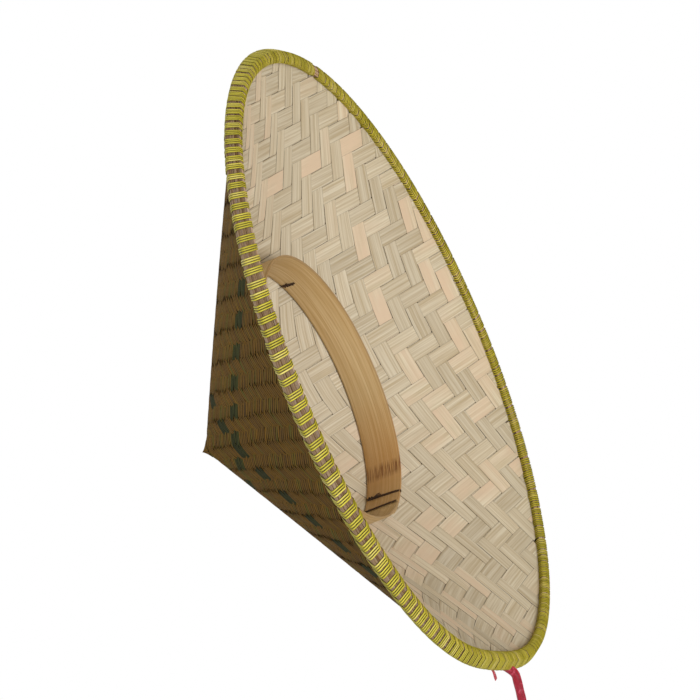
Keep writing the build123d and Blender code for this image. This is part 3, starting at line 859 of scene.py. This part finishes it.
# the thread round the put-away turns: a squared loop, wound three times
binding = {"azimuth": radians(200), "turns": 3, "stepsPerTurn": 6, "reach": 5.9 * mm, "high": 2.9 * mm,
           "squareness": 1.3, "spread": 2.2 * mm, "thread": 0.35 * mm}
coilMiddle = (ribbon["coilOutside"] + ribbon["coilInside"]) / 2
bindingSteps = binding["turns"] * binding["stepsPerTurn"]
tieLoop = []
for step in range(bindingSteps + 1):
    turn = step * 2 * pi / binding["stepsPerTurn"]
    radial = coilMiddle + binding["reach"] * max(-1, min(1, binding["squareness"] * cos(turn)))
    height = ribbon["height"] + binding["high"] * max(-1, min(1, binding["squareness"] * sin(turn)))
    slide = (step / bindingSteps - 0.5) * binding["spread"]
    across, along = cos(binding["azimuth"]), sin(binding["azimuth"])
    tieLoop.append(Vector((ribbon["coilCentre"][0] + radial * across - slide * along,
                           ribbon["coilCentre"][1] + radial * along + slide * across, height)))
coilTie = curvePiece("coilTie", [tieLoop], binding["thread"], "darkThread", ["coil_tie"])
print("ribbon laid")


def stageMaterial():
    # pale floor that shows only from above
    material, tree, shader = newMaterial("paleFloor")
    shader.inputs["Base Color"].default_value = (0.82, 0.81, 0.79, 1)
    shader.inputs["Roughness"].default_value = 0.9
    clear = tree.nodes.new("ShaderNodeBsdfTransparent")
    choose = tree.nodes.new("ShaderNodeMixShader")
    link(tree, tree.nodes.new("ShaderNodeNewGeometry").outputs["Backfacing"], choose.inputs[0])
    link(tree, shader.outputs[0], choose.inputs[1])
    link(tree, clear.outputs[0], choose.inputs[2])
    link(tree, choose.outputs[0], tree.nodes["Material Output"].inputs[0])
    return material


stageFloor = {"half": 4, "height": -0.1 * mm}
bm = bmesh.new()
bmesh.ops.create_grid(bm, x_segments=1, y_segments=1, size=stageFloor["half"])
bmesh.ops.translate(bm, verts=bm.verts, vec=(0, 0, stageFloor["height"]))
floorMesh = bpy.data.meshes.new("paleFloor")
bm.to_mesh(floorMesh)
bm.free()
floorMesh.materials.append(stageMaterial())
paleFloor = bpy.data.objects.new("paleFloor", floorMesh)
bpy.context.scene.collection.objects.link(paleFloor)
paleFloor.visible_shadow = False

# a white backdrop for the camera, and a dimmer white light all round
studio = {"backdrop": 1.0, "light": 0.38}
world = bpy.data.worlds.new("studio")
bpy.context.scene.world = world
world.use_nodes = True
studioTree = world.node_tree
sky = studioTree.nodes["Background"]
backdrop = studioTree.nodes.new("ShaderNodeBackground")
for background, strength in ((sky, studio["light"]), (backdrop, studio["backdrop"])):
    background.inputs["Color"].default_value = (1, 1, 1, 1)
    background.inputs["Strength"].default_value = strength
chooseSky = studioTree.nodes.new("ShaderNodeMixShader")
link(studioTree, studioTree.nodes.new("ShaderNodeLightPath").outputs["Is Camera Ray"], chooseSky.inputs[0])
link(studioTree, sky.outputs[0], chooseSky.inputs[1])
link(studioTree, backdrop.outputs[0], chooseSky.inputs[2])
link(studioTree, chooseSky.outputs[0], studioTree.nodes["World Output"].inputs[0])


def softLight(name, place, size, power):
    data = bpy.data.lights.new(name, "AREA")
    data.size = size
    data.energy = power
    light = bpy.data.objects.new(name, data)
    light.location = place
    light.rotation_euler = (Vector((0, 0, 0.05)) - Vector(place)).to_track_quat("-Z", "Y").to_euler()
    bpy.context.scene.collection.objects.link(light)


softLight("keyFromOpening", (-0.4, -1.1, -1.4), 1.0, 27)
softLight("overhead", (0.3, -0.3, 1.6), 1.2, 10)
softLight("sideFill", (1.4, 0.9, 0.8), 1.0, 6)

# seen from below and from one side
viewpoint = {"lens": 101.26, "place": (0, -1.1787, -0.3526), "aim": (0.0174, -0.0098, 0.0309),
             "up": (0.9251, 0.1059, -0.3646)}
camera = bpy.data.objects.new("camera", bpy.data.cameras.new("camera"))
bpy.context.scene.collection.objects.link(camera)
camera.data.lens = viewpoint["lens"]
camera.location = viewpoint["place"]
backwards = (camera.location - Vector(viewpoint["aim"])).normalized()
cameraUp = Vector(viewpoint["up"])
right = cameraUp.cross(backwards).normalized()
cameraUp = backwards.cross(right)
camera.rotation_euler = Matrix((right, cameraUp, backwards)).transposed().to_euler()
camera.data.clip_start = 0.01
bpy.context.scene.camera = camera
bpy.context.scene.view_settings.view_transform = "Standard"
print("camera set")
